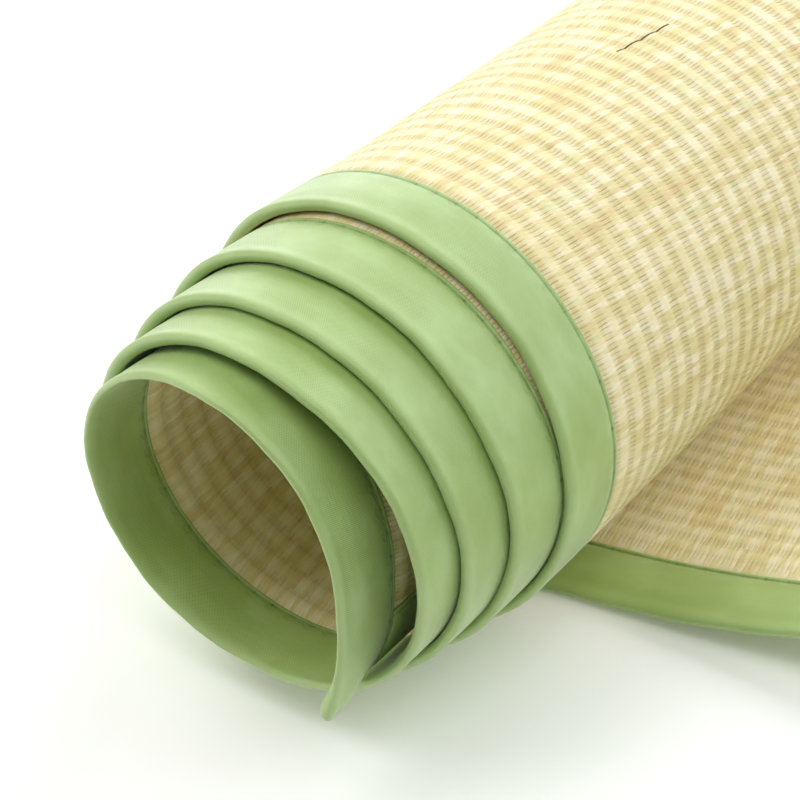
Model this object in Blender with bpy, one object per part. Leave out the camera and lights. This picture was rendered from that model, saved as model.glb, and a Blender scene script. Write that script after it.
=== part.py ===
"""Straw mat, rolled up from one end and lying with its last stretch unrolled.

The woven straw panel is one sheet wound five turns into a hollow roll.  The turns
slide past one another, so the rims step back one behind the other.  The last turn
runs under the roll and carries on along the floor as a tail that curls up a little.
A folded strip of cloth binds each of the four edges of the panel.

+Y runs along the roll, from the stepped rims to the plain end.  +X is the side of
the tail and +Z is up.  The origin is on the floor under the middle of the roll.
All sizes below are in millimetres.
"""

import math

import bmesh
import bpy

MM = 0.001

# Sizes of the mat when it lies flat.
MAT_WIDTH = 900.0        # along the roll
BINDING_WIDTH = 22.0     # how far the cloth reaches in from each edge
TAIL_BINDING_WIDTH = 25.0    # the same on the front edge of the tail
PANEL_HALF = 1.4         # half of the straw's thickness in the open field
EDGE_HALF = 0.6          # half of the straw's thickness inside the cloth
BINDING_HALF = 1.4       # half of the thickness of a bound edge
VALLEY_HALF = 1.25       # the same, in the shallow hollow beside the outer fold
SLOT_HALF = 0.9          # half of the space between the two cloth layers
FOLD_WALL = 1.8          # cloth from the outer fold to the space for the straw
CLEAR = 0.3              # gap between two pieces
STEP = 0.6               # length of a ramp where the straw thins

# The roll seen from its open end.
CENTRE_Z = 64.7          # height of the middle of the roll
LAYER = 2.8              # inner face of a turn to its outer face
TURN_STEP_DEG = 12.0     # one facet of the winding
FLAT_LEFT_DEG = 1698.0   # where the last turn comes down on the floor

# The tail: a flat stretch under the roll, then an arc that lifts off the floor.
FLAT_RIGHT = 28.0
CURL_RADIUS = 330.0
CURL_LENGTH = 158.0
TAIL_STEPS = 10
TAIL_RIM_SLOPE = 0.19    # how far the rim runs back for each millimetre of tail
WIDENING_LENGTH = 60.0   # stretch of tail over which the front strip gets wider

# The winding, one row for each quarter turn or less, from the inner end outwards.
# angle: degrees counted from +X towards +Z; radius: middle of the roll to the inner
# face of the turn; rim: how far back the front edge lies; strip: width of the front
# strip of cloth.
WINDING = [
    # angle, radius, rim, strip
    (-43.0, 49.9, -76.7, 22.0),
    (0.0, 41.5, -73.0, 22.0),
    (90.0, 44.5, -70.5, 22.0),
    (180.0, 46.0, -66.5, 22.0),
    (270.0, 48.5, -62.5, 22.0),
    (360.0, 56.2, -59.0, 22.0),
    (450.0, 50.4, -59.0, 22.0),
    (540.0, 50.3, -56.0, 22.0),
    (630.0, 51.8, -50.0, 22.0),
    (720.0, 59.9, -45.5, 22.0),
    (810.0, 53.9, -44.5, 22.0),
    (900.0, 53.8, -41.0, 22.0),
    (990.0, 55.1, -35.0, 22.0),
    (1080.0, 63.5, -29.5, 22.0),
    (1125.0, 60.8, -28.3, 22.0),
    (1170.0, 57.4, -27.0, 22.0),
    (1215.0, 56.8, -25.2, 22.0),
    (1260.0, 57.1, -23.0, 22.0),
    (1350.0, 58.7, -17.0, 22.0),
    (1440.0, 66.8, -9.9, 22.0),
    (1485.0, 64.3, -5.9, 20.8),
    (1530.0, 61.0, -4.1, 21.4),
    (1575.0, 60.1, -1.8, 22.0),
    (1620.0, 60.8, 2.0, 22.0),
    (1698.0, 63.31, 11.5, 22.0),
]


def winding_at(angle):
    """Radius, rim position and strip width on the winding, smooth through the rows."""
    last = len(WINDING) - 2
    row = 0
    while row < last and angle > WINDING[row + 1][0]:
        row += 1
    start, end = WINDING[row], WINDING[row + 1]
    before = WINDING[max(row - 1, 0)]
    after = WINDING[min(row + 2, last + 1)]
    span = end[0] - start[0]
    t = (angle - start[0]) / span
    values = []
    for column in (1, 2, 3):
        slope_in = (end[column] - before[column]) / (end[0] - before[0]) * span
        slope_out = (after[column] - start[column]) / (after[0] - start[0]) * span
        values.append(
            (2 * t**3 - 3 * t**2 + 1) * start[column]
            + (t**3 - 2 * t**2 + t) * slope_in
            + (3 * t**2 - 2 * t**3) * end[column]
            + (t**3 - t**2) * slope_out
        )
    return values


def winding_point(angle):
    """Middle of the sheet's thickness on the winding: x, z, rim and strip width."""
    radius, rim, strip = winding_at(angle)
    radius += LAYER / 2
    turn = math.radians(angle)
    return radius * math.cos(turn), CENTRE_Z + radius * math.sin(turn), rim, strip


def tail_point(distance):
    """The same on the tail, by distance from its start."""
    start_x, _, start_rim, start_strip = winding_point(FLAT_LEFT_DEG)
    flat = FLAT_RIGHT - start_x
    x = start_x + min(distance, flat)
    z = LAYER / 2
    if distance > flat:
        turn = (distance - flat) / CURL_RADIUS
        x += CURL_RADIUS * math.sin(turn)
        z += CURL_RADIUS * (1 - math.cos(turn))
    widening = min(distance / WIDENING_LENGTH, 1.0)
    strip = start_strip + (TAIL_BINDING_WIDTH - start_strip) * widening
    return x, z, start_rim + TAIL_RIM_SLOPE * distance, strip


def centre_line():
    """Finely spaced points of the winding and tail, and the lengths that go with them.

    Returns the points, the length along the mat at each of them, the lengths of the
    aligned ones, where the facets meet, and the length at which the tail starts.
    """
    fine = []
    aligned = []
    steps = int((FLAT_LEFT_DEG - WINDING[0][0]) * 2)
    for index in range(steps):
        angle = WINDING[0][0] + index / 2
        fine.append(winding_point(angle))
        if (angle - FLAT_LEFT_DEG) % TURN_STEP_DEG == 0:
            aligned.append(len(fine) - 1)
    tail_length = FLAT_RIGHT - winding_point(FLAT_LEFT_DEG)[0] + CURL_LENGTH
    tail_count = int(tail_length * 2)
    for index in range(tail_count + 1):
        fine.append(tail_point(tail_length * index / tail_count))
        if index % (tail_count // TAIL_STEPS) == 0 and index < tail_count:
            aligned.append(len(fine) - 1)
    lengths = [0.0]
    for a, b in zip(fine, fine[1:]):
        lengths.append(lengths[-1] + math.hypot(b[0] - a[0], b[1] - a[1]))
    return fine, lengths, [lengths[i] for i in aligned]


FINE, LENGTHS, ALIGNED = centre_line()
MAT_LENGTH = LENGTHS[-1]


def place_of(along):
    """Position in FINE of the point just before a length, and the share beyond it."""
    low, high = 0, len(LENGTHS) - 1
    while high - low > 1:
        middle = (low + high) // 2
        if LENGTHS[middle] <= along:
            low = middle
        else:
            high = middle
    return low, (along - LENGTHS[low]) / (LENGTHS[high] - LENGTHS[low])


def on_mat(along, across, height):
    """A point of the mat in metres.

    along: length from the inner end; across: distance from the front rim;
    height: distance from the middle of the thickness, positive on the outer face.
    """
    low, t = place_of(along)
    a, b = FINE[low], FINE[low + 1]
    before, after = FINE[max(low - 2, 0)], FINE[min(low + 3, len(FINE) - 1)]
    dx, dz = after[0] - before[0], after[1] - before[1]
    size = math.hypot(dx, dz)
    x = a[0] + (b[0] - a[0]) * t + height * dz / size
    z = a[1] + (b[1] - a[1]) * t - height * dx / size
    rim = a[2] + (b[2] - a[2]) * t
    return x * MM, (rim + across - MAT_WIDTH / 2) * MM, z * MM


def stations(start, end, extra=()):
    """Aligned stations between two lengths, with the named lengths put in."""
    kept = [start, end, *extra]
    for value in ALIGNED:
        if start < value < end and min(abs(value - other) for other in kept) > 1.2:
            kept.append(value)
    return sorted(kept)


def add_solid(name, sections, cap, material):
    """Join closed sections of equal point counts into one solid.

    cap lists the flat faces that close each end, as positions in a section.
    """
    mesh = bpy.data.meshes.new(name)
    body = bmesh.new()
    rings = [[body.verts.new(point) for point in section] for section in sections]
    count = len(rings[0])
    for ring, following in zip(rings, rings[1:]):
        for index in range(count):
            after = (index + 1) % count
            body.faces.new((ring[index], ring[after], following[after], following[index]))
    for face in cap:
        body.faces.new([rings[0][index] for index in reversed(face)])
        body.faces.new([rings[-1][index] for index in face])
    bmesh.ops.triangulate(body, faces=body.faces[:])
    bmesh.ops.recalc_face_normals(body, faces=body.faces[:])
    if body.calc_volume(signed=True) < 0:
        bmesh.ops.reverse_faces(body, faces=body.faces[:])
    body.to_mesh(mesh)
    body.free()
    mesh.materials.append(material)
    piece = bpy.data.objects.new(name, mesh)
    bpy.context.scene.collection.objects.link(piece)
    return piece


def make_material(name, colour, roughness):
    """A plain material of one colour."""
    material = bpy.data.materials.new(name)
    material.use_nodes = True
    shader = material.node_tree.nodes["Principled BSDF"]
    shader.inputs["Base Color"].default_value = (*colour, 1.0)
    shader.inputs["Roughness"].default_value = roughness
    return material


def front_width(along):
    """Width of the front strip at a length along the mat."""
    low, t = place_of(along)
    return FINE[low][3] + (FINE[low + 1][3] - FINE[low][3]) * t


def panel_stations():
    """Stations of the straw panel, with a short ramp beside each end strip."""
    inset = FOLD_WALL + CLEAR
    ramp = (BINDING_WIDTH + CLEAR, BINDING_WIDTH + CLEAR + STEP)
    ends = (*ramp, MAT_LENGTH - ramp[1], MAT_LENGTH - ramp[0])
    return stations(inset, MAT_LENGTH - inset, ends)


def panel_sections():
    """Straw panel: full thickness in the field, thinner inside the cloth edges."""
    inset = FOLD_WALL + CLEAR
    ramp = (BINDING_WIDTH + CLEAR, BINDING_WIDTH + CLEAR + STEP)
    sections = []
    for along in panel_stations():
        from_end = min(along, MAT_LENGTH - along)
        field = EDGE_HALF if from_end <= ramp[0] + 0.01 else PANEL_HALF
        wider = front_width(along) - BINDING_WIDTH
        half = [
            (inset, EDGE_HALF),
            (ramp[0] + wider, EDGE_HALF),
            (ramp[1] + wider, field),
            (MAT_WIDTH - ramp[1], field),
            (MAT_WIDTH - ramp[0], EDGE_HALF),
            (MAT_WIDTH - inset, EDGE_HALF),
        ]
        outline = half + [(across, -height) for across, height in reversed(half)]
        sections.append([on_mat(along, across, height) for across, height in outline])
    cap = [(i, i + 1, 10 - i, 11 - i) for i in range(5)]
    return sections, cap


def fold_profile(bends):
    """Folded strip seen from its end, as distance in from the fold and height.

    The strip is two layers of cloth joined by a rounded fold.  bends lists the
    distances (and half thickness there) at which both layers have a point.
    Returns the outline and the faces that fill it.
    """
    walls = [(FOLD_WALL, BINDING_HALF), *bends, (BINDING_WIDTH, BINDING_HALF)]
    fold = [(0.0, 0.6), (0.6, BINDING_HALF - 0.2)]
    slot = [(inward, SLOT_HALF) for inward, _ in reversed(walls)]
    upper = fold + walls + slot
    outline = upper + [(inward, -height) for inward, height in reversed(upper)]
    last = len(outline) - 1
    depth = len(upper) - 1
    cap = [(0, 1, last - 1, last)]
    cap += [(1, 2, depth), (1, depth, last - depth), (1, last - depth, last - 1)]
    cap += [(last - 1, last - depth, last - 2)]
    for i in range(len(walls) - 1):
        cap.append((2 + i, 3 + i, depth - 1 - i, depth - i))
        cap.append((last - depth + i, last - depth + 1 + i, last - 3 - i, last - 2 - i))
    return outline, cap


def long_binding_sections(side):
    """Strip along a long edge; side is 0 for the front rim and 1 for the back rim."""
    profile, cap = fold_profile([(5.0, VALLEY_HALF)])
    sections = []
    for along in stations(0.0, MAT_LENGTH, panel_stations()):
        section = []
        for inward, height in profile:
            if side == 0 and inward == BINDING_WIDTH:
                inward = front_width(along)
            across = inward if side == 0 else MAT_WIDTH - inward
            section.append(on_mat(along, across, height))
        sections.append(section)
    return sections, cap


def end_binding_sections(side):
    """Strip along a short edge, between the two long strips."""
    depths = [along if side == 0 else MAT_LENGTH - along for along in panel_stations()]
    bends = sorted(d for d in depths if FOLD_WALL + 1 < d < BINDING_WIDTH)
    profile, cap = fold_profile([(bend, BINDING_HALF) for bend in bends])
    sections = []
    front = front_width(0.0 if side == 0 else MAT_LENGTH)
    for across in (front + CLEAR, MAT_WIDTH - BINDING_WIDTH - CLEAR):
        section = []
        for inward, height in profile:
            along = inward if side == 0 else MAT_LENGTH - inward
            section.append(on_mat(along, across, height))
        sections.append(section)
    return sections, cap


def main():
    """Build the five pieces of the mat."""
    for old in list(bpy.data.objects):
        bpy.data.objects.remove(old, do_unlink=True)
    straw = make_material("woven_straw", (0.72, 0.62, 0.36), 0.75)
    cloth = make_material("green_binding_cloth", (0.38, 0.58, 0.30), 0.6)
    add_solid("straw_panel", *panel_sections(), straw)
    add_solid("binding_front", *long_binding_sections(0), cloth)
    add_solid("binding_back", *long_binding_sections(1), cloth)
    add_solid("binding_inner_end", *end_binding_sections(0), cloth)
    add_solid("binding_outer_end", *end_binding_sections(1), cloth)
    print("mat length", round(MAT_LENGTH, 1), "mm")


main()
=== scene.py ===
"""Looks of a straw mat that lies rolled up, with its last stretch unrolled.

The mat is one woven rush sheet wound five turns into a hollow roll. Folded strips of
green cloth bind its four edges, held by a line of stitches near each hem. The turns
slide past one another, so the rims step back one behind the other.

+Y runs along the roll, +X is the side of the tail and +Z is up. Sizes are in
millimetres, except in the studio, where they are in metres.
"""

import logging
import math
from collections.abc import Callable, Sequence
from dataclasses import dataclass, field
from enum import Enum
from functools import partial

import bmesh
import bpy
import numpy as np
from mathutils import Matrix, Vector


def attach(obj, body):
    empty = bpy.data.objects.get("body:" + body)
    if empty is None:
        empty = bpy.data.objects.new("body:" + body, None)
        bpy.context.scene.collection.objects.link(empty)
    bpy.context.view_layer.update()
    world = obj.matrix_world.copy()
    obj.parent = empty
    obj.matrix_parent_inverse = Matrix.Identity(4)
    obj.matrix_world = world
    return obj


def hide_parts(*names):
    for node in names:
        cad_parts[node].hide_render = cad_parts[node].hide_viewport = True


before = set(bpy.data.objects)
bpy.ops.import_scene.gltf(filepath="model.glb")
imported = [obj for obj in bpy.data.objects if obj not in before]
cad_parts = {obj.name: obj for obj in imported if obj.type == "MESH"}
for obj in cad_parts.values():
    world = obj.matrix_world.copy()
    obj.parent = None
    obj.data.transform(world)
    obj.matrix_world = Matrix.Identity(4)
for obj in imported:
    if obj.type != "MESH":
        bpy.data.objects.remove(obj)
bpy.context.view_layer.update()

MM = 0.001
COORDINATES = "mat_mm"  # attribute: place on the flat mat, in millimetres
LOG = logging.getLogger("straw_mat")

# The winding, one row for each quarter turn or less, from the inner end outwards.
WINDING = [
    # angle, radius, rim, strip
    (-43.0, 49.9, -76.7, 22.0),
    (0.0, 41.5, -73.0, 22.0),
    (90.0, 44.5, -70.5, 22.0),
    (180.0, 46.0, -66.5, 22.0),
    (270.0, 48.5, -62.5, 22.0),
    (360.0, 56.2, -59.0, 22.0),
    (450.0, 50.4, -59.0, 22.0),
    (540.0, 50.3, -56.0, 22.0),
    (630.0, 51.8, -50.0, 22.0),
    (720.0, 59.9, -45.5, 22.0),
    (810.0, 53.9, -44.5, 22.0),
    (900.0, 53.8, -41.0, 22.0),
    (990.0, 55.1, -35.0, 22.0),
    (1080.0, 63.5, -29.5, 22.0),
    (1125.0, 60.8, -28.3, 22.0),
    (1170.0, 57.4, -27.0, 22.0),
    (1215.0, 56.8, -25.2, 22.0),
    (1260.0, 57.1, -23.0, 22.0),
    (1350.0, 58.7, -17.0, 22.0),
    (1440.0, 66.8, -9.9, 22.0),
    (1485.0, 64.3, -5.9, 20.8),
    (1530.0, 61.0, -4.1, 21.4),
    (1575.0, 60.1, -1.8, 22.0),
    (1620.0, 60.8, 2.0, 22.0),
    (1698.0, 63.31, 11.5, 22.0),
]


class Face(Enum):
    """The two faces of the mat, as the sign of a height above its middle."""

    OUTER = 1.0
    INNER = -1.0


class Edge(Enum):
    """The four edges of the mat and the nodes of the strips that bind them."""

    FRONT = "binding_front"
    BACK = "binding_back"
    INNER_END = "binding_inner_end"
    OUTER_END = "binding_outer_end"

    @property
    def is_long(self) -> bool:
        """Whether the edge runs the whole length of the mat."""
        return self in (Edge.FRONT, Edge.BACK)


def linear(colour: str) -> tuple[float, float, float, float]:
    """Turn an sRGB hex colour into linear values.

    Args:
        colour: six hex digits after a hash sign.

    Returns:
        Red, green, blue and an alpha of 1.
    """
    values = [int(colour[i : i + 2], 16) / 255 for i in (1, 3, 5)]
    red, green, blue = (
        v / 12.92 if v <= 0.04045 else ((v + 0.055) / 1.055) ** 2.4 for v in values
    )
    return red, green, blue, 1.0


def add_node(
    tree: bpy.types.NodeTree,
    kind: str,
    inputs: dict | Sequence = (),
    stops: Sequence[tuple[float, str]] = (),
    **settings: object,
) -> bpy.types.Node:
    """Add one shader node with its settings and links.

    Args:
        tree: the material's node tree.
        kind: the node's type without the ShaderNode in front.
        inputs: values, nodes or sockets, by position or by name.
        stops: positions and hex colours, for a colour ramp.
        **settings: the node's own properties.

    Returns:
        The new node.
    """
    node = tree.nodes.new("ShaderNode" + kind)
    for name, value in settings.items():
        setattr(node, name, value)
    while len(stops) > 2 and len(node.color_ramp.elements) < len(stops):
        node.color_ramp.elements.new(1.0)
    for index, (position, colour) in enumerate(stops):
        node.color_ramp.elements[index].position = position
        node.color_ramp.elements[index].color = linear(colour)
    pairs = inputs.items() if isinstance(inputs, dict) else enumerate(inputs)
    for key, value in pairs:
        if isinstance(value, bpy.types.Node):
            value = value.outputs[0]
        if isinstance(value, bpy.types.NodeSocket):
            tree.links.new(value, node.inputs[key])
        else:
            node.inputs[key].default_value = value
    return node


def new_material(name: str) -> tuple[bpy.types.Material, Callable[..., bpy.types.Node]]:
    """Make a material with an empty node tree.

    Args:
        name: the material's name.

    Returns:
        The material, and add_node for its tree.
    """
    material = bpy.data.materials.new(name)
    material.use_nodes = True
    material.node_tree.nodes.clear()
    return material, partial(add_node, material.node_tree)


def ramp(value: np.ndarray, start: float, end: float) -> np.ndarray:
    """Share of the way from start to end that a value has gone, from 0 to 1."""
    return np.clip((value - start) / (end - start), 0.0, 1.0)


@dataclass(frozen=True)
class WovenRush:
    """Dried rush stalks packed over thin warp cords: matt, with a faint natural gloss.

    The stalks bulge over each cord, so the face shows ribs of short pale dashes with
    dark pits in the hollows between the ribs; the darkness there is painted shade.
    """

    rib_pitch: float = 7.3  # from warp cord to warp cord
    dash_pitch: float = 1.35  # from stalk to stalk on one rib
    slant: float = 0.13  # drift of a stalk along the mat for each mm across it
    wander: float = 0.95  # how far a stalk strays from its line
    relief: float = 0.18  # height of a stalk above the pits
    slot_reach: tuple[float, float] = (0.13, 0.36)  # from full to none, in ribs off the hollow
    groove_reach: tuple[float, float] = (0.24, 0.5)  # from none to full, in stalks
    inner_share: float = 0.55  # how deep the pits are on the inner face
    pit_shade_share: float = 0.55  # how much painted shade a pit shows
    # how much painted shade darkens the hollows between the ribs
    hollow_shade_share: float = 0.3
    fibre_share: float = 0.16  # height of the fibres, for a stalk's height of 1
    roughness: float = 0.58
    gloss: float = 0.35
    stalk_stops: tuple[tuple[float, str], ...] = (
        (0.0, "#CDB676"),
        (0.2, "#E9CF9C"),
        (0.32, "#E4D699"),
        (0.5, "#F1E2B0"),
        (0.66, "#F9EDCA"),
        (0.82, "#E2DCA2"),
        (1.0, "#FBF3DA"),
    )
    # colour of the painted shade in the hollows between the ribs
    hollow: str = "#C9B26E"
    # colour of the painted shade in the pits
    pit_shade: str = "#A8935A"
    flaw: str = "#4A3A22"
    flaw_stalk: float = 1539.1  # slanted length at which the one dark stalk lies
    flaw_half: float = 0.32
    flaw_from: float = 113.0
    flaw_to: float = 137.0

    def make(self) -> bpy.types.Material:
        """Build the material.

        Returns:
            The woven rush material.
        """
        material, add = new_material("woven_rush")
        place = add("Attribute", attribute_name=COORDINATES).outputs["Vector"]
        along, across, face = add("SeparateXYZ", (place,)).outputs
        # Stalks wander a little and differ in width.
        drift = add("VectorMath", (place, (1.0, 0.03, 1.0)), operation="MULTIPLY")
        drift = add("TexNoise", {"Vector": drift, "Scale": 0.28, "Detail": 2.0})
        drift = add("Math", (drift, 2 * self.wander, -self.wander), operation="MULTIPLY_ADD")
        slanted = add("Math", (across, self.slant, along), operation="MULTIPLY_ADD")
        stalk = add("Math", (slanted, drift), operation="ADD")
        stalk = add("Math", (stalk, self.dash_pitch), operation="DIVIDE")
        stalk_number = add("Math", (stalk,), operation="FLOOR")
        # Hollows lie between the ribs, and every other hollow is half a stalk further on.
        rib = add("Math", (across, self.rib_pitch), operation="DIVIDE")
        rib_number = add("Math", (rib,), operation="FLOOR")
        hollow = add("Math", (rib, 0.5), operation="ADD")
        hollow_number = add("Math", (hollow,), operation="FLOOR")
        odd = add("Math", (hollow_number, 2.0), operation="FLOORED_MODULO")
        gap = add("Math", (odd, 0.5, stalk), operation="MULTIPLY_ADD")
        gap_number = add("Math", (gap, 0.5), operation="ADD")
        gap_number = add("Math", (gap_number,), operation="FLOOR")
        off_middle = []
        for row in (hollow, gap):
            share = add("Math", (row,), operation="FRACT")
            share = add("Math", (share, 0.5), operation="SUBTRACT")
            off_middle.append(add("Math", (share,), operation="ABSOLUTE"))
        # A pit is a short slot between two stalks where they dive under a cord.
        smooth = {"interpolation_type": "SMOOTHSTEP"}
        slot = add("MapRange", (off_middle[0], *self.slot_reach, 1.0, 0.0), **smooth)
        groove = add("MapRange", (off_middle[1], *self.groove_reach, 0.0, 1.0), **smooth)
        # The pits are darkened with painted shade, each by its own random amount.
        pair = add("CombineXYZ", (gap_number, hollow_number, 0.0))
        chance_pit = add("TexWhiteNoise", (pair,), noise_dimensions="3D")
        strength = add("Math", (chance_pit, chance_pit), operation="MULTIPLY")
        strength = add("Math", (strength, 0.85, 0.1), operation="MULTIPLY_ADD")
        side = add("MapRange", (face, -1.0, 1.0, self.inner_share, 1.0))
        slot = add("Math", (slot, side), operation="MULTIPLY")
        pit_shade = add("Math", (slot, groove), operation="MULTIPLY")
        pit_shade = add("Math", (pit_shade, strength), operation="MULTIPLY")
        seam = add("Math", (slot, 0.7, 0.3), operation="MULTIPLY_ADD")
        seam = add("Math", (groove, seam), operation="MULTIPLY")
        crown = add("Math", (1.0, seam), operation="SUBTRACT")
        # Each stalk has its own colour, which changes slowly along it and from rib to rib.
        chance = add("TexWhiteNoise", {"W": stalk_number}, noise_dimensions="1D")
        dash = add("CombineXYZ", (stalk_number, rib_number, 7.0))
        dash = add("TexWhiteNoise", (dash,), noise_dimensions="3D")
        patch = add("CombineXYZ", (stalk_number, across, 0.0))
        patch = add("VectorMath", (patch, (3.7, 0.025, 1.0)), operation="MULTIPLY")
        patch = add("TexNoise", {"Vector": patch, "Scale": 1.0, "Detail": 1.0})
        mottle = add("VectorMath", (place, (1.0, 0.6, 1.0)), operation="MULTIPLY")
        mottle = add("TexNoise", {"Vector": mottle, "Scale": 0.11, "Detail": 2.0})
        pick = add("Math", (chance, 0.3, -0.4), operation="MULTIPLY_ADD")
        for value, share in ((dash, 0.3), (patch, 0.4), (mottle, 0.8)):
            pick = add("Math", (value, share, pick), operation="MULTIPLY_ADD")
        colour = add("ValToRGB", (pick,), stops=self.stalk_stops)
        # The hollows and the pits are darkened with painted shade, and one stalk has a
        # natural fault.
        hollow_shade = add("Math", (slot, self.hollow_shade_share), operation="MULTIPLY")
        depth = add("Math", (pit_shade, self.pit_shade_share), operation="MULTIPLY")
        flaw = self.add_flaw(add, slanted, across)
        for mask, tone in ((hollow_shade, self.hollow), (depth, self.pit_shade), (flaw, self.flaw)):
            sockets = {0: mask, 6: colour, 7: linear(tone)}
            colour = add("Mix", sockets, data_type="RGBA").outputs[2]
        # Fine fibres run along each stalk.
        fibre = add("VectorMath", (place, (6.0, 0.25, 1.0)), operation="MULTIPLY")
        fibre = add("TexNoise", {"Vector": fibre, "Scale": 1.0, "Detail": 2.0})
        height = add("Math", (fibre, self.fibre_share, crown), operation="MULTIPLY_ADD")
        bump = add("Bump", {"Height": height, "Strength": 1.0, "Distance": self.relief * MM})
        look = {"Base Color": colour, "Roughness": self.roughness, "Normal": bump}
        shader = add("BsdfPrincipled", {**look, "Specular IOR Level": self.gloss})
        add("OutputMaterial", {"Surface": shader})
        return material

    def add_flaw(
        self,
        add: Callable[..., bpy.types.Node],
        slanted: bpy.types.Node,
        across: bpy.types.NodeSocket,
    ) -> bpy.types.Node:
        """Mask of the one dark stalk.

        Args:
            add: adds a node to the material's tree.
            slanted: length along the mat, counted along the stalks.
            across: distance from the front rim.

        Returns:
            The node whose value is 1 on the dark stalk.
        """
        side = add("Math", (slanted, self.flaw_stalk), operation="SUBTRACT")
        side = add("Math", (side,), operation="ABSOLUTE")
        mask = add("Math", (side, self.flaw_half), operation="LESS_THAN")
        for end, test in ((self.flaw_from, "GREATER_THAN"), (self.flaw_to, "LESS_THAN")):
            within = add("Math", (across, end), operation=test)
            mask = add("Math", (mask, within), operation="MULTIPLY")
        return mask


@dataclass(frozen=True)
class BindingCloth:
    """Fine plain-woven cotton tape, dyed green and pressed: soft satin sheen."""

    colour: str = "#9FBA67"
    light: str = "#ACC87C"
    shade: str = "#97B35D"
    # colour of the painted shade in the needle holes and along the stitch groove
    stitch_shade: str = "#4C6A2C"
    sheen_tint: str = "#F2F8EC"
    thread_pitch: float = 0.6  # drawn about twice as coarse as the real tape's threads
    thread_relief: float = 0.05
    pucker_relief: float = 0.25
    crease_relief: float = 0.4
    pale_fold_width: float = 3.2  # how far in from the fold the colour is paler
    stitch_pitch: float = 6.7
    stitch_inset: float = 1.5  # from the hem to the line of stitches
    roughness: float = 0.4
    gloss: float = 0.95
    sheen: float = 0.5
    sheen_roughness: float = 0.35

    def make(self) -> bpy.types.Material:
        """Build the material.

        Returns:
            The binding cloth material.
        """
        material, add = new_material("green_cotton_tape")
        place = add("Attribute", attribute_name=COORDINATES).outputs["Vector"]
        along, inward, from_hem = add("SeparateXYZ", (place,)).outputs
        # The dye is a little uneven, and the colour is paler near the fold.
        uneven = add("TexNoise", {"Vector": place, "Scale": 0.06, "Detail": 3.0})
        stops = ((0.3, self.shade), (0.5, self.colour), (0.75, self.light))
        colour = add("ValToRGB", (uneven,), stops=stops)
        pale_fold = add("MapRange", (inward, 0.0, self.pale_fold_width, 0.45, 0.0))
        # The stitches lie in a fine crease, with a needle hole at each end of a stitch.
        # Painted shade darkens the holes and the crease.
        beat = add("Math", (along, self.stitch_pitch), operation="DIVIDE")
        hole_number = add("Math", (beat, 0.5), operation="ADD")
        hole_number = add("Math", (hole_number,), operation="FLOOR")
        hole_shade_strength = add("TexWhiteNoise", {"W": hole_number}, noise_dimensions="1D")
        hole_shade_strength = add("Math", (hole_shade_strength, 0.7, 0.3), operation="MULTIPLY_ADD")
        beat = add("Math", (beat,), operation="FRACT")
        beat = add("Math", (beat, 0.5), operation="SUBTRACT")
        beat = add("Math", (beat,), operation="ABSOLUTE")
        step = add("Math", (0.5, beat), operation="SUBTRACT")
        step = add("Math", (step, self.stitch_pitch), operation="MULTIPLY")
        off_line = add("Math", (from_hem, self.stitch_inset), operation="SUBTRACT")
        squares = [add("Math", (v, v), operation="MULTIPLY") for v in (step, off_line)]
        away = add("Math", squares, operation="ADD")
        stitch_shade = add("MapRange", (away, 0.05, 0.5, 1.0, 0.0))
        stitch_shade = add("Math", (stitch_shade, hole_shade_strength), operation="MULTIPLY")
        # Painted shade also darkens the groove along the line of stitches.
        line = add("MapRange", (squares[1], 0.03, 0.2, 0.6, 0.0))
        dark = add("Math", (stitch_shade, line), operation="MAXIMUM")
        for mask, tone in ((pale_fold, self.light), (dark, self.stitch_shade)):
            sockets = {0: mask, 6: colour, 7: linear(tone)}
            colour = add("Mix", sockets, data_type="RGBA").outputs[2]
        # Plain weave, the puckers that the stitches pull, and soft creases.
        waves = []
        for value in (along, inward):
            turn = add("Math", (value, 2 * math.pi / self.thread_pitch), operation="MULTIPLY")
            waves.append(add("Math", (turn,), operation="SINE"))
        weave = add("Math", waves, operation="MULTIPLY")
        pucker = add("MapRange", (away, 0.0, 6.0, 0.0, 1.0), interpolation_type="SMOOTHSTEP")
        crease = add("VectorMath", (place, (0.05, 0.16, 0.0)), operation="MULTIPLY")
        crease = add("TexNoise", {"Vector": crease, "Scale": 1.0, "Detail": 2.0})
        bump = {}
        for height, strength, relief in (
            (weave, 0.6, self.thread_relief),
            (pucker, 0.8, self.pucker_relief),
            (crease, 0.5, self.crease_relief),
        ):
            sockets = {"Height": height, "Strength": strength, "Distance": relief * MM}
            bump = {"Normal": add("Bump", {**sockets, **bump})}
        shader = add(
            "BsdfPrincipled",
            {
                "Base Color": colour,
                "Roughness": self.roughness,
                "Specular IOR Level": self.gloss,
                "Sheen Weight": self.sheen,
                "Sheen Roughness": self.sheen_roughness,
                "Sheen Tint": linear(self.sheen_tint),
                **bump,
            },
        )
        add("OutputMaterial", {"Surface": shader})
        return material


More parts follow.
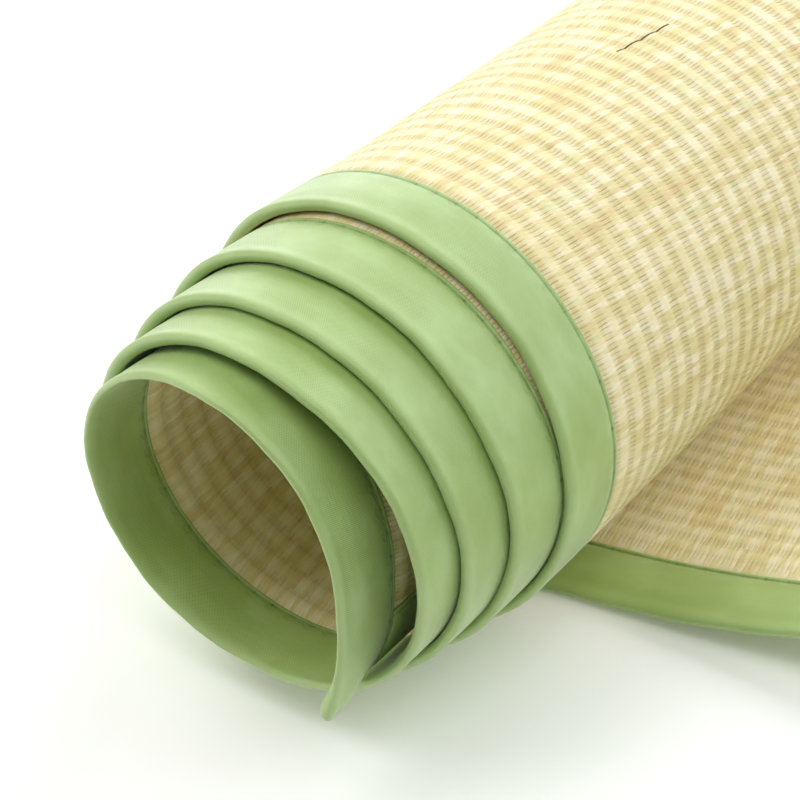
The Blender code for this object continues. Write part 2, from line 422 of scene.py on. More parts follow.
@dataclass(frozen=True)
class SewingThread:
    """Spun polyester thread, dyed to the tape: slightly glossier than the cloth."""

    colour: str = "#A5C77F"
    # colour of the painted shade in the grooves between the plies
    shade: str = "#7C9C58"
    twist_pitch: float = 0.5
    relief: float = 0.06
    roughness: float = 0.42

    def make(self) -> bpy.types.Material:
        """Build the material.

        Returns:
            The thread material.
        """
        material, add = new_material("green_spun_thread")
        place = add("Attribute", attribute_name=COORDINATES).outputs["Vector"]
        along, beside, _ = add("SeparateXYZ", (place,)).outputs
        slanted = add("Math", (along, beside), operation="ADD")
        turn = add("Math", (slanted, 2 * math.pi / self.twist_pitch), operation="MULTIPLY")
        ply = add("Math", (turn,), operation="SINE")
        ply = add("Math", (ply, 0.5, 0.5), operation="MULTIPLY_ADD")
        # The grooves between the plies are darkened with painted shade, following the bump.
        colour = add("ValToRGB", (ply,), stops=((0.0, self.shade), (0.6, self.colour)))
        bump = add("Bump", {"Height": ply, "Strength": 0.6, "Distance": self.relief * MM})
        look = {"Base Color": colour, "Roughness": self.roughness, "Normal": bump}
        add("OutputMaterial", {"Surface": add("BsdfPrincipled", look)})
        return material


@dataclass(frozen=True)
class PaintedFloor:
    """Matt white painted board with a barely visible roller texture."""

    colour: str = "#FBFBF9"
    shade: str = "#F8F8F5"
    glow: str = "#FFFEF6"  # faint own light that keeps the mat's shadow pale
    glow_strength: float = 0.12
    relief: float = 0.1
    roughness: float = 0.7

    def make(self) -> bpy.types.Material:
        """Build the material.

        Returns:
            The floor material.
        """
        material, add = new_material("matt_white_paint")
        place = add("TexCoord").outputs["Object"]
        patch = add("TexNoise", {"Vector": place, "Scale": 3.0, "Detail": 4.0})
        colour = add("ValToRGB", (patch,), stops=((0.35, self.shade), (0.65, self.colour)))
        grain = add("TexNoise", {"Vector": place, "Scale": 900.0, "Detail": 2.0})
        bump = add("Bump", {"Height": grain, "Strength": 0.1, "Distance": self.relief * MM})
        glow = {"Emission Color": linear(self.glow), "Emission Strength": self.glow_strength}
        look = {"Base Color": colour, "Roughness": self.roughness, "Normal": bump, **glow}
        add("OutputMaterial", {"Surface": add("BsdfPrincipled", look)})
        return material


@dataclass
class MatShape:
    """Where each point of the flat mat lies on the roll and its tail."""

    width: float = 900.0
    layer: float = 2.8
    centre_z: float = 64.7
    flat_left_deg: float = 1698.0
    flat_right: float = 28.0
    curl_radius: float = 330.0
    curl_length: float = 158.0
    tail_rim_slope: float = 0.19
    tail_strip: float = 25.0
    widening_length: float = 60.0
    fineness: int = 2  # points for each degree of the winding and each mm of the tail
    waist_depth: float = 1.6  # how far the roll draws in behind the bound edge
    waist_deg: float = 130.0  # where round the roll it does so
    waist_spread_deg: float = 50.0
    waist_fade: float = 60.0  # length before the tail over which it ends
    waist_across: tuple[float, float, float] = (40.0, 100.0, 260.0)  # full, still full, none
    corner_reach: float = 1.5  # how far the free first corner is pulled out past the rim
    corner_flare: float = 3.0  # how far it is turned outwards
    corner_length: float = 30.0
    corner_across: tuple[float, float, float] = (6.0, 16.0, 22.0)  # flat, no flare, no reach
    points: np.ndarray = field(init=False, repr=False)
    normals: np.ndarray = field(init=False, repr=False)
    lengths: np.ndarray = field(init=False, repr=False)
    waist: np.ndarray = field(init=False, repr=False)
    angles: list[float] = field(init=False, repr=False)

    def __post_init__(self) -> None:
        """Lay out the fine points of the winding and of the tail."""
        start_deg = WINDING[0][0]
        steps = int((self.flat_left_deg - start_deg) * self.fineness)
        self.angles = [start_deg + index / self.fineness for index in range(steps)]
        rows = [self.winding_point(angle) for angle in self.angles]
        tail_length = self.flat_right - self.winding_point(self.flat_left_deg)[0]
        tail_length += self.curl_length
        count = int(tail_length * self.fineness)
        rows += [self.tail_point(tail_length * i / count) for i in range(count + 1)]
        self.points = np.array(rows)
        moves = np.hypot(*np.diff(self.points[:, :2], axis=0).T)
        self.lengths = np.concatenate([[0.0], np.cumsum(moves)])
        order = np.arange(len(rows))
        ahead = self.points[np.minimum(order + 2, order[-1]), :2]
        direction = ahead - self.points[np.maximum(order - 2, 0), :2]
        direction /= np.linalg.norm(direction, axis=1)[:, None]
        self.normals = np.stack([direction[:, 1], -direction[:, 0]], axis=1)
        waist = self.waist_depth * self.waist_share(np.array(self.angles))
        self.waist = np.concatenate([waist, np.zeros(len(rows) - steps)])
        end = self.lengths[steps]
        self.waist *= ramp(self.lengths, end, end - self.waist_fade)

    @property
    def length(self) -> float:
        """Length of the flat mat."""
        return float(self.lengths[-1])

    @property
    def tail_start(self) -> float:
        """Length from the inner end to where the mat comes to lie on the floor."""
        return self.length_at(self.flat_left_deg - 1 / self.fineness)

    def waist_share(self, angle: np.ndarray) -> np.ndarray:
        """How near angles of the winding are to the waist, from 0 to 1."""
        off = (angle - self.waist_deg + 180) % 360 - 180
        return np.exp(-((off / self.waist_spread_deg) ** 2))

    def winding_at(self, angle: float) -> list[float]:
        """Radius, rim position and strip width at an angle, smooth through the rows.

        Args:
            angle: degrees along the winding.

        Returns:
            The three values.
        """
        last = len(WINDING) - 2
        row = 0
        while row < last and angle > WINDING[row + 1][0]:
            row += 1
        start, end = WINDING[row], WINDING[row + 1]
        before, after = WINDING[max(row - 1, 0)], WINDING[min(row + 2, last + 1)]
        span = end[0] - start[0]
        t = (angle - start[0]) / span
        values = []
        for column in (1, 2, 3):
            slope_in = (end[column] - before[column]) / (end[0] - before[0]) * span
            slope_out = (after[column] - start[column]) / (after[0] - start[0]) * span
            values.append(
                (2 * t**3 - 3 * t**2 + 1) * start[column]
                + (t**3 - 2 * t**2 + t) * slope_in
                + (3 * t**2 - 2 * t**3) * end[column]
                + (t**3 - t**2) * slope_out
            )
        return values

    def winding_point(self, angle: float) -> tuple[float, float, float, float]:
        """Middle of the sheet on the winding.

        Args:
            angle: degrees along the winding.

        Returns:
            x, z, rim position and strip width.
        """
        radius, rim, strip = self.winding_at(angle)
        radius += self.layer / 2
        turn = math.radians(angle)
        return radius * math.cos(turn), self.centre_z + radius * math.sin(turn), rim, strip

    def tail_point(self, distance: float) -> tuple[float, float, float, float]:
        """Middle of the sheet on the tail.

        Args:
            distance: length from the start of the tail.

        Returns:
            x, z, rim position and strip width.
        """
        start_x, _, start_rim, start_strip = self.winding_point(self.flat_left_deg)
        flat = self.flat_right - start_x
        x = start_x + min(distance, flat)
        z = self.layer / 2
        if distance > flat:
            turn = (distance - flat) / self.curl_radius
            x += self.curl_radius * math.sin(turn)
            z += self.curl_radius * (1 - math.cos(turn))
        widening = min(distance / self.widening_length, 1.0)
        strip = start_strip + (self.tail_strip - start_strip) * widening
        return x, z, start_rim + self.tail_rim_slope * distance, strip

    def length_at(self, angle: float) -> float:
        """Length from the inner end at an angle of the winding."""
        return float(self.lengths[int(round((angle - WINDING[0][0]) * self.fineness))])

    def strip(self, along: np.ndarray) -> np.ndarray:
        """Width of the front strip at lengths along the mat."""
        return np.interp(along, self.lengths, self.points[:, 3])

    def place(self, along: np.ndarray, across: np.ndarray, height: np.ndarray) -> np.ndarray:
        """Points of the mat.

        Args:
            along: lengths from the inner end.
            across: distances from the front rim.
            height: heights above the middle, positive on the outer face.

        Returns:
            The points in metres, one more axis of three than the inputs.
        """
        along, across, height = np.broadcast_arrays(along, across, height)
        flat, flared, reached = self.corner_across
        near_end = ramp(along, self.corner_length, 0.0) ** 2
        height = height + self.corner_flare * near_end * (1.0 - ramp(across, flat, flared) ** 2)
        reach = self.corner_reach * near_end * ramp(across, reached, 0.0)
        x, z, rim = (np.interp(along, self.lengths, self.points[:, i]) for i in range(3))
        normal_x, normal_z = (np.interp(along, self.lengths, self.normals[:, i]) for i in (0, 1))
        full, still_full, none = self.waist_across
        drawn_in = ramp(across, 0.0, full) * ramp(across, none, still_full)
        height = height - drawn_in * np.interp(along, self.lengths, self.waist)
        height = height / np.hypot(normal_x, normal_z)
        y = rim + across - reach - self.width / 2
        return np.stack([x + height * normal_x, y, z + height * normal_z], axis=-1) * MM


def add_mesh(
    name: str,
    points: np.ndarray,
    coordinates: np.ndarray,
    faces: list[tuple[int, ...]],
    material: bpy.types.Material,
) -> bpy.types.Object:
    """Make one closed piece from points and faces, and turn its faces outwards.

    Args:
        name: the piece's name.
        points: places in metres.
        coordinates: the same points on the flat mat, in millimetres.
        faces: positions of each face's corners.
        material: the finish.

    Returns:
        The piece.
    """
    mesh = bpy.data.meshes.new(name)
    mesh.from_pydata(points.reshape(-1, 3).tolist(), [], faces)
    attribute = mesh.attributes.new(COORDINATES, "FLOAT_VECTOR", "POINT")
    attribute.data.foreach_set("vector", coordinates.reshape(-1).astype(np.float32))
    body = bmesh.new()
    body.from_mesh(mesh)
    if body.calc_volume(signed=True) < 0:
        bmesh.ops.reverse_faces(body, faces=body.faces[:])
    body.to_mesh(mesh)
    body.free()
    mesh.polygons.foreach_set("use_smooth", [True] * len(mesh.polygons))
    mesh.materials.append(material)
    piece = bpy.data.objects.new(name, mesh)
    bpy.context.scene.collection.objects.link(piece)
    return piece


def positions(sections: int, count: int, first: int = 0) -> list[list[int]]:
    """Positions of the points of a grid, section by section."""
    return np.arange(first, first + sections * count).reshape(sections, count).tolist()


def band(near: Sequence[int], far: Sequence[int]) -> list[tuple[int, ...]]:
    """Four-cornered faces between two equally long rows of points."""
    return list(zip(near[:-1], near[1:], far[1:], far[:-1]))


def loft_faces(rows: list[list[int]], closed: bool = True) -> list[tuple[int, ...]]:
    """Faces between neighbouring sections of a grid of points.

    Args:
        rows: positions of each section's points.
        closed: whether the last point of a section joins its first.

    Returns:
        The faces' corners.
    """
    if closed:
        rows = [[*row, row[0]] for row in rows]
    return [face for near, far in zip(rows, rows[1:]) for face in band(near, far)]


@dataclass
class StrawPanel:
    """The woven field, in four stretches that meet where other turns hide the joint."""

    shape: MatShape
    finish: WovenRush
    inset: float = 2.4  # the panel's edge, inside the fold of the cloth
    edge_half: float = 0.6
    crest_half: float = 1.4
    valley_half: float = 0.86
    plain_half: float = 1.3
    fine_step: float = 5.0
    coarse_step: float = 6.5
    plain_step: float = 36.0
    joint_deg: tuple[float, float] = (450.0, 1338.0)
    hidden_dense_to: float = 46.0  # ribs on the hidden turns, in from the long edges
    back_strip: float = 22.0
    hem_columns: tuple[float, ...] = (21.8, 22.15, 22.6)  # at the hem of the cloth
    field_from: float = 23.4
    shares: tuple[float, ...] = (0.0, 0.2, 0.5, 0.8)  # of a rib, from one hollow to the next
    shift: tuple[float, float, float] = (12.0, 24.0, 60.0)  # moved by the tail's wider strip
    ramp_share: tuple[float, float] = (0.1, 1.0)  # from thin to full, past the hem
    end_offsets: tuple[float, ...] = (-0.1, 0.45, 1.05)  # sections at the hem of an end strip

    def rib_columns(self, dense_to: float) -> list[float]:
        """Distances from the front rim at which the panel has points.

        Args:
            dense_to: how far in from each long edge the ribs are modelled.

        Returns:
            The distances, for a front strip of the usual width.
        """
        pitch, width = self.finish.rib_pitch, self.shape.width
        ribs = range(int(width / pitch) + 1)
        inner = [(rib + share) * pitch for rib in ribs for share in self.shares]
        inner = [a for a in inner if self.field_from < a < width - self.field_from]
        kept = [a for a in inner if a < dense_to or a > width - dense_to]
        kept += list(np.arange(dense_to + 5, width - dense_to - 5, self.plain_step))
        edge = (self.inset, *self.hem_columns)
        return [*edge, *sorted(kept), *(width - a for a in reversed(edge))]

    def half_thickness(
        self, along: np.ndarray, across: np.ndarray, dense_to: float
    ) -> np.ndarray:
        """Half of the panel's thickness: ribbed in the field, thin under the cloth.

        Args:
            along: lengths from the inner end.
            across: distances from the front rim.
            dense_to: how far in from each long edge the ribs are modelled.

        Returns:
            The half thickness at each point.
        """
        width, strip = self.shape.width, self.back_strip
        share = np.mod(across / self.finish.rib_pitch, 1.0)
        rise = 1.0 - np.abs(2 * share - 1) ** 2.2
        ribbed = self.valley_half + (self.crest_half - self.valley_half) * rise
        middle = (across > dense_to + 1) & (across < width - dense_to - 1)
        ribbed = np.where(middle, self.plain_half, ribbed)
        from_edge = np.minimum(across - self.shape.strip(along), width - strip - across)
        from_end = np.minimum(along, self.shape.length - along) - strip
        depth = ramp(np.minimum(from_edge, from_end), *self.ramp_share)
        return self.edge_half + (ribbed - self.edge_half) * depth

    def stretch(
        self,
        name: str,
        span: tuple[float, float],
        step: float,
        dense_to: float,
        material: bpy.types.Material,
    ) -> bpy.types.Object:
        """Args:
            name: the piece's name.
            span: where the stretch starts and ends along the mat.
            step: distance between its cross sections.
            dense_to: how far in from each long edge the ribs are modelled.
            material: the woven finish.

        Returns:
            The piece.
        """
        start, end = span
        stations = list(np.linspace(start, end, int((end - start) / step) + 1))
        for edge, sign in ((self.back_strip, 1.0), (self.shape.length - self.back_strip, -1.0)):
            if start < edge < end:
                stations = [s for s in stations if abs(s - edge - 0.5) > 2.0]
                stations += [edge + sign * offset for offset in self.end_offsets]
        along = np.array(sorted(stations))[:, None]
        base = np.array(self.rib_columns(dense_to))[None, :]
        first, full, none = self.shift
        fade = ramp(base, none, full) * (base > first)
        across = base + (self.shape.strip(along) - self.back_strip) * fade
        along = np.broadcast_to(along, across.shape)
        half = self.half_thickness(along, across, dense_to)
        outer = self.shape.place(along, across, half)
        inner = self.shape.place(along, across, -half)
        points = np.concatenate([outer, inner[:, ::-1]], axis=1)
        flat = [np.stack([along, across, np.full_like(across, f.value)], axis=-1) for f in Face]
        coordinates = np.concatenate([flat[0], flat[1][:, ::-1]], axis=1)
        rows = positions(*points.shape[:2])
        half_row = len(rows[0]) // 2
        faces = loft_faces(rows)
        faces += band(rows[0][::-1][:half_row], rows[0][:half_row])
        faces += band(rows[-1][:half_row], rows[-1][::-1][:half_row])
        piece = add_mesh(name, points, coordinates, faces, material)
        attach(piece, "root")
        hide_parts("straw_panel")
        return piece

    def build(self) -> list[bpy.types.Object]:
        """Build the four stretches.

        Returns:
            The pieces, from the inner end outwards.
        """
        material = self.finish.make()
        everywhere = self.shape.width / 2 + 10
        joints = [self.shape.length_at(angle) for angle in self.joint_deg]
        ends = [self.inset, *joints, self.shape.tail_start, self.shape.length - self.inset]
        rows = [
            ("straw_first_turn", self.fine_step, everywhere),
            ("straw_middle_turns", self.coarse_step, self.hidden_dense_to),
            ("straw_last_turn", self.fine_step, everywhere),
            ("straw_tail", self.fine_step, everywhere),
        ]
        spans = zip(ends, ends[1:])
        return [self.stretch(row[0], span, *row[1:], material) for row, span in zip(rows, spans)]


@dataclass
class BindingStrip:
    """One folded cloth strip over an edge of the panel."""

    shape: MatShape
    edge: Edge
    pitch_deg: float = 3.0
    tail_step: float = 4.0
    short_sections: int = 150
    corner_radius: float = 3.6
    end_taper: float = 2.4
    end_wall: float = 1.9
    usual_width: float = 22.0
    full_half: float = 1.4
    clear: float = 0.3
    rim_round: float = 7.0
    rounded_to_deg: float = 300.0  # up to here the cloth lies loose, so its rim is round
    tail_pad: float = 1.3  # how much the strip swells along the tail
    corner_pad: float = 2.8  # how much thicker the folded first corner is
    lip_pad: float = 0.4  # how much fuller the fold is on the inner face of the later turns
    lip_width: float = 6.0
    lip_deg: tuple[float, float] = (400.0, 1650.0)
    fade: float = 30.0  # length over which the rounding and the lip come and go
    pad_across: tuple[float, float, float] = (9.0, 14.8, 19.8)  # full, still full, none
    pad_fade: float = 20.0
    corner_size: float = 12.0
    corner_across: tuple[float, float] = (6.0, 14.0)  # full, none
    widened_from: float = 10.0  # beyond this, points move with the strip's width
    hem_from: float = 17.0
    hem_waver: float = 0.4
    hem_seed: float = 1.7
    fold_to: float = 12.0
    fold_seed: float = 0.4
    calm_length: float = 10.0  # length in from each end over which the edges run straight
    # Height, length and share of the seed of each wave in the unevenness of an edge.
    waves: tuple[tuple[float, float, float], ...] = (
        (0.22, 61.0, 1.0),
        (0.12, 23.0, 2.3),
        (0.06, 9.7, 4.1),
    )

    # Distance in from the fold and half thickness of the cloth's outside, from the hem
    # to the fold: hem, groove with the stitches, flat field, hollow, bead at the fold.
    OUTSIDE = (
        (22.0, 1.02),
        (21.88, 1.22),
        (21.5, 1.34),
        (20.95, 1.3),
        (20.5, 1.06),
        (20.1, 1.22),
        (19.3, 1.37),
        (17.0, 1.4),
        (13.5, 1.4),
        (10.5, 1.4),
        (8.0, 1.37),
        (6.2, 1.3),
        (4.9, 1.24),
        (3.9, 1.24),
        (3.0, 1.33),
        (2.2, 1.41),
        (1.5, 1.4),
        (0.9, 1.22),
        (0.42, 0.9),
        (0.12, 0.48),
    )
    SLOT_HALF = 0.84
    SLOT_START = 1.95
    SLOT_NOSE = 1.8

    def wobble(self, place: np.ndarray, seed: float) -> np.ndarray:
        """Slow unevenness of a sewn edge, between about -0.4 and 0.4."""
        turn = 2 * math.pi * place
        return sum(h * np.sin(turn / length + share * seed) for h, length, share in self.waves)

    def width_at(self, run: np.ndarray) -> np.ndarray:
        """Width of the strip at places along it."""
        if self.edge is Edge.FRONT:
            return self.shape.strip(run)
        return np.full_like(run, self.usual_width)

    def at_edge(self, run: np.ndarray, inward: np.ndarray, height: np.ndarray) -> np.ndarray:
        """Points beside the edge that the strip binds.

        Args:
            run: places along the edge.
            inward: distances in from the edge.
            height: heights above the middle of the mat.

        Returns:
            The points in metres.
        """
        if self.edge is Edge.BACK:
            inward = self.shape.width - inward
        elif self.edge is Edge.OUTER_END:
            inward = self.shape.length - inward
        pair = (run, inward) if self.edge.is_long else (inward, run)
        return self.shape.place(*pair, height)

    def section(self) -> tuple[np.ndarray, np.ndarray]:
        """Outside and slot wall of the strip, from one hem round the fold to the other.

        Returns:
            Two arrays of distance in from the fold and height, equally long.
        """
        outside = [*self.OUTSIDE, (0.0, 0.0)]
        outside += [(inward, -height) for inward, height in reversed(self.OUTSIDE)]
        slot = []
        for inward, height in outside:
            limit = min(self.SLOT_HALF, abs(height) * 0.9)
            nose = min(inward / self.SLOT_START, 1.0)
            start = self.SLOT_NOSE + (self.SLOT_START - self.SLOT_NOSE) * nose
            slot.append((max(inward, start), math.copysign(limit, height)))
        slot[len(self.OUTSIDE)] = (self.SLOT_NOSE, 0.0)
        return np.array(outside), np.array(slot)

    def stations(self) -> np.ndarray:
        """Places along the strip at which it has a section."""
        shape = self.shape
        if self.edge.is_long:
            winding = shape.lengths[: len(shape.angles) : int(self.pitch_deg * shape.fineness)]
            tail = np.arange(shape.tail_start, shape.length - 5.0, self.tail_step)
            # Sections stand close at both ends, where the corners are rounded.
            ends = np.array([0.0, 0.12, 0.45, 1.0, self.end_wall, 2.6, 3.6, 5.0, 7.0])
            between = (place for place in (*winding[3:-1], *tail) if place > 9.0)
            return np.array([*ends, *between, *(shape.length - ends[::-1])])
        front = shape.tail_strip if self.edge is Edge.OUTER_END else self.usual_width
        high = shape.width - self.usual_width - self.clear
        return np.linspace(front + self.clear, high, self.short_sections)

    def laid(
        self, stations: np.ndarray, profile: np.ndarray, padded: bool
    ) -> tuple[np.ndarray, np.ndarray]:
        """Lay a profile at each station.

        Args:
            stations: places along the strip.
            profile: distance in from the fold and height of each point.
            padded: whether the inner face swells where the strip is thick.

        Returns:
            Points in metres, and strip coordinates in millimetres.
        """
        place = stations[:, None]
        inward, height = profile[None, :, 0], profile[None, :, 1]
        width = self.width_at(place)
        usual = self.usual_width
        reach = inward + (width - usual) * ramp(inward, self.widened_from, usual)
        hem_wave = self.wobble(place, self.hem_seed) * ramp(inward, self.hem_from, usual)
        hem_wave = self.hem_waver * hem_wave
        fold_wave = self.wobble(place, self.fold_seed) * ramp(inward, self.fold_to, 0.0)
        if self.edge.is_long:
            from_end = np.minimum(place, self.shape.length - place)
            round_in = np.maximum(self.corner_radius - from_end, 0.0)
            cut = self.corner_radius - np.sqrt(self.corner_radius**2 - round_in**2)
            reach = cut + reach * (width - cut) / width
            reach = reach + (hem_wave + fold_wave) * ramp(from_end, 0.0, self.calm_length)
            tip = np.clip(1.0 - from_end / self.end_taper, 0.0, 0.94)
            height = height * np.sqrt(1.0 - tip**2)
            if padded:
                height = self.rounded_rim(place, inward, height)
                height = height - self.padding(place, inward, height)
        else:
            reach = reach + hem_wave + 0.5 * fold_wave
        flat = [np.broadcast_to(value, reach.shape) for value in (place, inward)]
        return self.at_edge(place, reach, height), np.stack([*flat, width - reach], axis=-1)

    def rounded_rim(
        self, place: np.ndarray, inward: np.ndarray, height: np.ndarray
    ) -> np.ndarray:
        """Round off the inner side of the first turn's rim, where the cloth lies loose.

        Args:
            place: places along the strip.
            inward: distances in from the fold.
            height: heights of the plain strip.

        Returns:
            The heights with the rim rounded.
        """
        share = ramp(inward, 0.0, self.rim_round)
        limit = self.full_half * np.sqrt(1.0 - (1.0 - share) ** 2) + 0.02
        end = self.shape.length_at(self.rounded_to_deg)
        rounded = np.maximum(height, -limit)
        return height + (rounded - height) * ramp(place, end, end - self.fade)

    def padding(self, place: np.ndarray, inward: np.ndarray, height: np.ndarray) -> np.ndarray:
        """Extra thickness of the inner face: a soft pad on the tail, a fuller lip, a thick corner.

        Args:
            place: places along the strip.
            inward: distances in from the fold.
            height: heights of the plain strip.

        Returns:
            What is taken off the heights.
        """
        if self.edge is not Edge.FRONT:
            return np.zeros_like(height)
        shape = self.shape
        full, still_full, none = self.pad_across
        pad = np.sin(ramp(inward, none, still_full) * math.pi / 2)
        pad = self.tail_pad * pad * np.sin(ramp(inward, 0.0, full) * math.pi / 2)
        pad = pad * ramp(place, shape.tail_start, shape.tail_start + self.pad_fade)
        corner = self.corner_pad * np.exp(-((place / self.corner_size) ** 2))
        corner = corner * ramp(inward, *self.corner_across[::-1])
        start, end = (shape.length_at(angle) for angle in self.lip_deg)
        later = ramp(place, start, start + self.fade) * ramp(place, end, end - self.fade)
        angle = np.interp(place, shape.lengths[: len(shape.angles)], shape.angles)
        lip = self.lip_pad * later * ramp(inward, self.lip_width, self.lip_width / 3)
        lip = lip * (1.0 + shape.waist_share(angle))
        return ramp(height, 0.0, -self.full_half) * (pad + corner + lip)

    def build(self, material: bpy.types.Material) -> bpy.types.Object:
        """Args:
            material: the cloth finish.

        Returns:
            The piece.
        """
        outside, slot = self.section()
        stations = self.stations()
        first, last = 0, len(stations) - 1
        if self.edge.is_long:
            wall = self.end_wall - 1e-6
            inside = np.flatnonzero((stations > wall) & (stations < self.shape.length - wall))
            first, last = int(inside[0]), int(inside[-1])
        points, flat = self.laid(stations, outside, padded=True)
        slot_points, slot_flat = self.laid(stations[first : last + 1], slot, padded=False)
        rows = positions(len(stations), len(outside))
        slot_rows = positions(last - first + 1, len(outside), len(stations) * len(outside))
        faces = loft_faces(rows, closed=False)
        faces += [face[::-1] for face in loft_faces(slot_rows, closed=False)]
        top, bottom = ([row[i] for row in rows] for i in (0, -1))
        slot_top, slot_bottom = ([row[i] for row in slot_rows] for i in (0, -1))
        faces += band(top[first : last + 1], slot_top)
        faces += band(slot_bottom, bottom[first : last + 1])
        if self.edge.is_long:
            faces += band(top[:first], bottom[:first])
            faces += band(top[last + 1 :], bottom[last + 1 :])
            near = (top[first - 1], top[first], slot_top[0])
            faces.append((*near, slot_bottom[0], bottom[first], bottom[first - 1]))
            near = (top[last], top[last + 1], bottom[last + 1], bottom[last])
            faces.append((*near, slot_bottom[-1], slot_top[-1]))
            middle = len(outside) // 2
            for row in (rows[0][::-1], rows[-1], slot_rows[0], slot_rows[-1][::-1]):
                faces += band(row[:middle], row[::-1][:middle])
                faces.append(tuple(row[middle - 1 : middle + 2]))
        else:
            faces += band(rows[0][::-1], slot_rows[0][::-1])
            faces += band(rows[-1], slot_rows[-1])
        every = np.concatenate([points.reshape(-1, 3), slot_points.reshape(-1, 3)])
        flat = np.concatenate([flat.reshape(-1, 3), slot_flat.reshape(-1, 3)])
        piece = add_mesh(self.edge.value + "_cloth", every, flat, faces, material)
        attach(piece, "root")
        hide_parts(self.edge.value)
        return piece


@dataclass
class Stitching:
    """The line of stitches near the hem of one strip, on both faces of the mat."""

    strip: BindingStrip
    cloth: BindingCloth
    radius: float = 0.16
    rise: float = 0.1
    surface: float = 1.03  # height of the groove that the stitches lie in
    gap: float = 0.5  # between two stitches
    free_end: float = 4.0  # length at each end of the strip without stitches
    waver: float = 0.24
    sides: int = 6
    cuts: tuple[float, ...] = (-0.34, -0.12, 0.12, 0.34)  # shares of a stitch's length
    # Share of a stitch's length from its middle, and height as a share of the rise.
    bends: tuple[tuple[float, float], ...] = ((0.12, 1.0), (0.34, 0.55), (0.5, -1.6))

    def one_stitch(self) -> tuple[np.ndarray, list[tuple[int, ...]]]:
        """Model one stitch: a short thread that dives into the cloth at both ends.

        Returns:
            Its points in millimetres, along X and rising to +Z, and its faces.
        """
        long = self.cloth.stitch_pitch - self.gap
        bpy.ops.object.select_all(action="DESELECT")
        bpy.ops.mesh.primitive_cylinder_add(
            vertices=self.sides, radius=self.radius, depth=long, rotation=(0, math.pi / 2, 0)
        )
        stitch = bpy.context.object
        bpy.ops.object.transform_apply(location=True, rotation=True, scale=True)
        bpy.ops.object.mode_set(mode="EDIT")
        for share in self.cuts:
            bpy.ops.mesh.select_all(action="SELECT")
            bpy.ops.mesh.bisect(plane_co=(share * long, 0, 0), plane_no=(1, 0, 0))
        bpy.ops.object.mode_set(mode="OBJECT")
        mesh = stitch.data
        for share, lift in self.bends:
            for vertex in mesh.vertices:
                vertex.select = math.isclose(abs(vertex.co.x) / long, share, abs_tol=0.01)
            bpy.ops.object.mode_set(mode="EDIT")
            bpy.ops.transform.translate(value=(0, 0, lift * self.rise))
            bpy.ops.object.mode_set(mode="OBJECT")
        points = np.array([vertex.co[:] for vertex in mesh.vertices])
        faces = [tuple(face.vertices) for face in mesh.polygons]
        bpy.data.objects.remove(stitch, do_unlink=True)
        return points, faces

    def build(self, material: bpy.types.Material) -> bpy.types.Object:
        """Copy the stitch along the hem and join the copies.

        Args:
            material: the thread finish.

        Returns:
            The line of stitches as one piece.
        """
        template, faces = self.one_stitch()
        strip, pitch = self.strip, self.cloth.stitch_pitch
        places = strip.stations()
        first = math.ceil((places[0] + self.free_end) / pitch)
        last = int((places[-1] - self.free_end) / pitch)
        points, flat, all_faces = [], [], []
        for number in range(first, last):
            run = (number + 0.5) * pitch + template[:, 0]
            inward = strip.width_at(run) - self.cloth.stitch_inset + template[:, 1]
            inward = inward + self.waver * strip.wobble(run, strip.hem_seed)
            for face in Face:
                mirrored = (face is Face.INNER) != (strip.edge in (Edge.BACK, Edge.INNER_END))
                base = len(points) * len(template)
                for corners in faces:
                    order = corners[::-1] if mirrored else corners
                    all_faces.append(tuple(base + corner for corner in order))
                height = face.value * (self.surface + template[:, 2])
                points.append(strip.at_edge(run, inward, height))
                flat.append(np.stack([run, template[:, 1], template[:, 2]], axis=-1))
        name = strip.edge.value + "_stitches"
        piece = add_mesh(name, np.concatenate(points), np.concatenate(flat), all_faces, material)
        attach(piece, "root")
        return piece


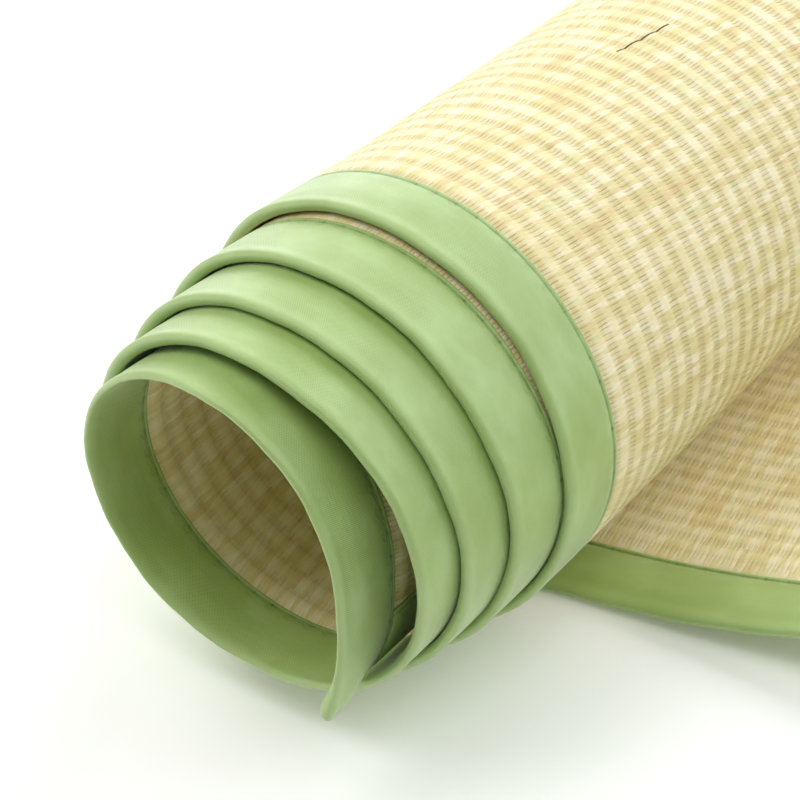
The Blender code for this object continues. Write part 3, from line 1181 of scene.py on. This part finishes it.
@dataclass
class Studio:
    """Pale floor, soft lights and the camera."""

    camera_place: tuple[float, float, float] = (0.27899, -0.80339, 0.41406)
    right: tuple[float, float, float] = (0.804674, 0.593716, 0.00019)
    up: tuple[float, float, float] = (-0.365888, 0.495642, 0.787696)
    lens: float = 92.68
    shift: tuple[float, float] = (-0.0418, 0.0132)
    room: float = 0.01
    # Name, bearing clockwise from the camera's view and elevation in degrees, watts, cool.
    lights: tuple[tuple[str, float, float, float, bool], ...] = (
        ("back_sweep", -12.0, 14.0, 12.0, False),
        ("back_left", -40.0, 40.0, 4.0, False),
        ("back_right", 30.0, 40.0, 16.5, True),
        ("right_window", 90.0, 33.0, 7.0, True),
        ("right_glow", 75.0, 20.0, 6.0, True),
        ("left_high", -90.0, 60.0, 14.0, False),
        ("left_low", -90.0, 14.0, 8.0, False),
        ("front_right", 130.0, 60.0, 7.0, True),
        ("front_high", 180.0, 62.0, 5.5, False),
    )
    cool: tuple[float, float, float] = (0.92, 0.96, 1.0)
    distance: float = 1.8
    side: float = 1.1
    target: tuple[float, float, float] = (0.0, -0.35, 0.05)
    floor_size: float = 8.0
    floor_drop: float = 0.0002

    def add_camera(self) -> None:
        """Place the camera at the photograph's viewing angle."""
        data = bpy.data.cameras.new("view")
        data.lens = self.lens
        data.sensor_width = 36.0
        data.shift_x, data.shift_y = self.shift
        data.clip_start = 0.01
        data.clip_end = 50.0
        camera = bpy.data.objects.new("view", data)
        right, up = Vector(self.right).normalized(), Vector(self.up).normalized()
        back = right.cross(up)
        turn = Matrix((right, up, back)).transposed().to_4x4()
        camera.matrix_world = Matrix.Translation(self.camera_place) @ turn
        bpy.context.scene.collection.objects.link(camera)
        bpy.context.scene.camera = camera

    def add_floor(self) -> None:
        """Lay the floor, just below the mat's underside."""
        bpy.ops.object.select_all(action="DESELECT")
        location = (0.0, 0.0, -self.floor_drop)
        bpy.ops.mesh.primitive_plane_add(size=self.floor_size, location=location)
        floor = bpy.context.object
        floor.name = "floor"
        bpy.ops.object.transform_apply(location=True, rotation=True, scale=True)
        floor.data.materials.append(PaintedFloor().make())

    def add_light(
        self, name: str, bearing: float, elevation: float, power: float, cool: bool
    ) -> None:
        """Add a square soft light that faces the front of the roll.

        Args:
            name: the light's name.
            bearing: degrees clockwise from the way the camera looks, seen from above.
            elevation: degrees above the floor.
            power: its power in watts.
            cool: whether its light is slightly blue.
        """
        data = bpy.data.lights.new(name, "AREA")
        data.shape = "SQUARE"
        data.size = self.side
        data.energy = power
        data.color = self.cool if cool else (1.0, 1.0, 1.0)
        ahead = Vector(self.up).cross(Vector(self.right))
        ahead = Vector((ahead.x, ahead.y, 0.0)).normalized()
        beside = Vector((ahead.y, -ahead.x, 0.0))
        turn, rise = math.radians(bearing), math.radians(elevation)
        way = (ahead * math.cos(turn) + beside * math.sin(turn)) * math.cos(rise)
        way.z += math.sin(rise)
        light = bpy.data.objects.new(name, data)
        light.location = Vector(self.target) + way * self.distance
        light.rotation_euler = (-way).to_track_quat("-Z", "Y").to_euler()
        bpy.context.scene.collection.objects.link(light)

    def build(self) -> None:
        """Set up the whole studio."""
        self.add_camera()
        self.add_floor()
        for row in self.lights:
            self.add_light(*row)
        world = bpy.data.worlds.new("soft_room")
        world.use_nodes = True
        background = world.node_tree.nodes["Background"]
        background.inputs["Color"].default_value = linear("#FFFFFF")
        background.inputs["Strength"].default_value = self.room
        bpy.context.scene.view_settings.view_transform = "Standard"
        bpy.context.scene.world = world


def report(pieces: Sequence[bpy.types.Object]) -> None:
    """Log the size of each piece."""
    for piece in pieces:
        triangles = sum(len(face.vertices) - 2 for face in piece.data.polygons)
        size = ", ".join(f"{value * 1000:.1f}" for value in piece.dimensions)
        LOG.info("%s: %d triangles, %s mm", piece.name, triangles, size)


def main() -> None:
    """Build the mat and the studio."""
    logging.basicConfig(level=logging.INFO, format="%(message)s")
    shape = MatShape()
    rush = WovenRush()
    cloth = BindingCloth()
    pieces = StrawPanel(shape, rush).build()
    tape = cloth.make()
    thread = SewingThread().make()
    for edge in Edge:
        strip = BindingStrip(shape, edge)
        piece = strip.build(tape)
        seam = Stitching(strip, cloth).build(thread)
        run = float(np.ptp(strip.stations()))
        pieces += [piece, seam]
    Studio().build()
    bpy.context.view_layer.update()
    report(pieces)


if __name__ == "__main__":
    main()
